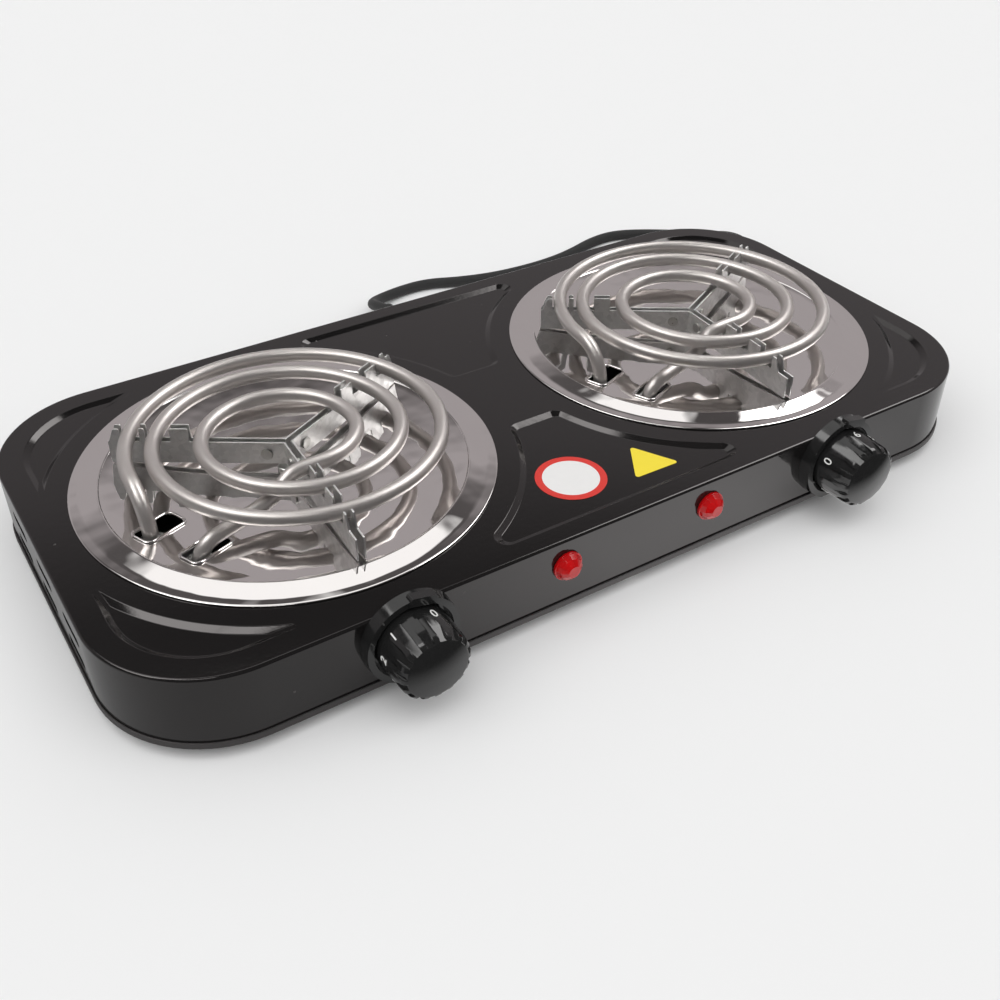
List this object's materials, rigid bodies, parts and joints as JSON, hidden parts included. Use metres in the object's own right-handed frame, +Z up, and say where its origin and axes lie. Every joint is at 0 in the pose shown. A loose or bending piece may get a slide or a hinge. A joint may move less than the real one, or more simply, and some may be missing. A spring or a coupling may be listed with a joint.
{
  "type": "twin coil hot plate burner",
  "caption": "Low rounded steel hot plate with round tubular coils over chromed drip pans, front dials with pilot lamps, feet below and a mains cord at the back.",
  "frame": {"origin": "on the table under the middle of the body with its dials and cord gland, the free cord left out", "axes": "+X along the body to the right as seen from the dials, +Y from the dials to the back, +Z up"},
  "size_m": [0.4899, 0.3221, 0.0607],
  "materials": {
    "body_enamel": "black stove enamel, satin",
    "tray_enamel": "black stove enamel, satin",
    "screw_zinc": "zinc plated",
    "foot_rubber": "matte",
    "ceramic": "unglazed ceramic",
    "chrome": "bright chrome plate",
    "coil_sheath": "satin stainless sheath",
    "galvanised_sheet": "galvanised sheet",
    "terminal_steel": "plain turned steel",
    "knob_plastic": "gloss black phenolic",
    "bezel_plastic": "gloss black phenolic",
    "thermostat_plastic": "dark phenolic",
    "lens_red": "clear red, faceted",
    "neon_glass": "clear",
    "wire_sleeve": "woven heat-proof sleeve",
    "cord_sheath": "satin black",
    "tie_plastic": "matte black",
    "blade_brass": "nickel plated",
    "white_film": "printed film",
    "yellow_film": "printed film"
  },
  "bodies": {
    "chassis": {"base_plate": "tray_enamel", "base_screws": "screw_zinc", "block_screws": "screw_zinc", "body_shell": "body_enamel", "cord_coil": "cord_sheath", "cord_gland": "cord_sheath", "cord_tail": "cord_sheath", "cord_tie": "tie_plastic", "earth_screw": "screw_zinc", "foot_pads": "foot_rubber", "foot_screws": "screw_zinc", "left_bezel": "bezel_plastic", "left_bracket_screws": "screw_zinc", "left_burner_strap": "galvanised_sheet", "left_coil_supports": "galvanised_sheet", "left_drip_pan": "chrome", "left_heating_coil": "coil_sheath", "left_lamp_housing": "thermostat_plastic", "left_lamp_lens": "lens_red", "left_leads": "wire_sleeve", "left_neon_bulb": "neon_glass", "left_pan_bolt": "screw_zinc", "left_pan_nut": "screw_zinc", "left_plate_screw": "screw_zinc", "left_support_rivets": "galvanised_sheet", "left_terminal_insulators": "ceramic", "left_terminal_pins": "terminal_steel", "left_terminal_plate": "galvanised_sheet", "left_thermostat": "thermostat_plastic", "left_thermostat_bracket": "galvanised_sheet", "plug_body": "cord_sheath", "plug_pins": "blade_brass", "power_cord": "cord_sheath", "right_bezel": "bezel_plastic", "right_bracket_screws": "screw_zinc", "right_burner_strap": "galvanised_sheet", "right_coil_supports": "galvanised_sheet", "right_drip_pan": "chrome", "right_heating_coil": "coil_sheath", "right_lamp_housing": "thermostat_plastic", "right_lamp_lens": "lens_red", "right_leads": "wire_sleeve", "right_neon_bulb": "neon_glass", "right_pan_bolt": "screw_zinc", "right_pan_nut": "screw_zinc", "right_plate_screw": "screw_zinc", "right_support_rivets": "galvanised_sheet", "right_terminal_insulators": "ceramic", "right_terminal_pins": "terminal_steel", "right_terminal_plate": "galvanised_sheet", "right_thermostat": "thermostat_plastic", "right_thermostat_bracket": "galvanised_sheet", "round_decal": "white_film", "supply_cores": "wire_sleeve", "terminal_block": "ceramic", "triangle_decal": "yellow_film"},
    "left_dial": {"left_knob": "knob_plastic", "left_thermostat_shaft": "terminal_steel"},
    "right_dial": {"right_knob": "knob_plastic", "right_thermostat_shaft": "terminal_steel"}
  },
  "joints": [
    {"name": "left_dial_turn", "type": "hinge", "parent": "chassis", "child": "left_dial", "pos_m": [-0.1123, -0.1278, 0.0279], "axis": [0, 1, 0], "range_deg": [0, 288]},
    {"name": "right_dial_turn", "type": "hinge", "parent": "chassis", "child": "right_dial", "pos_m": [0.1123, -0.1278, 0.0279], "axis": [0, 1, 0], "range_deg": [-273, 15]}
  ]
}
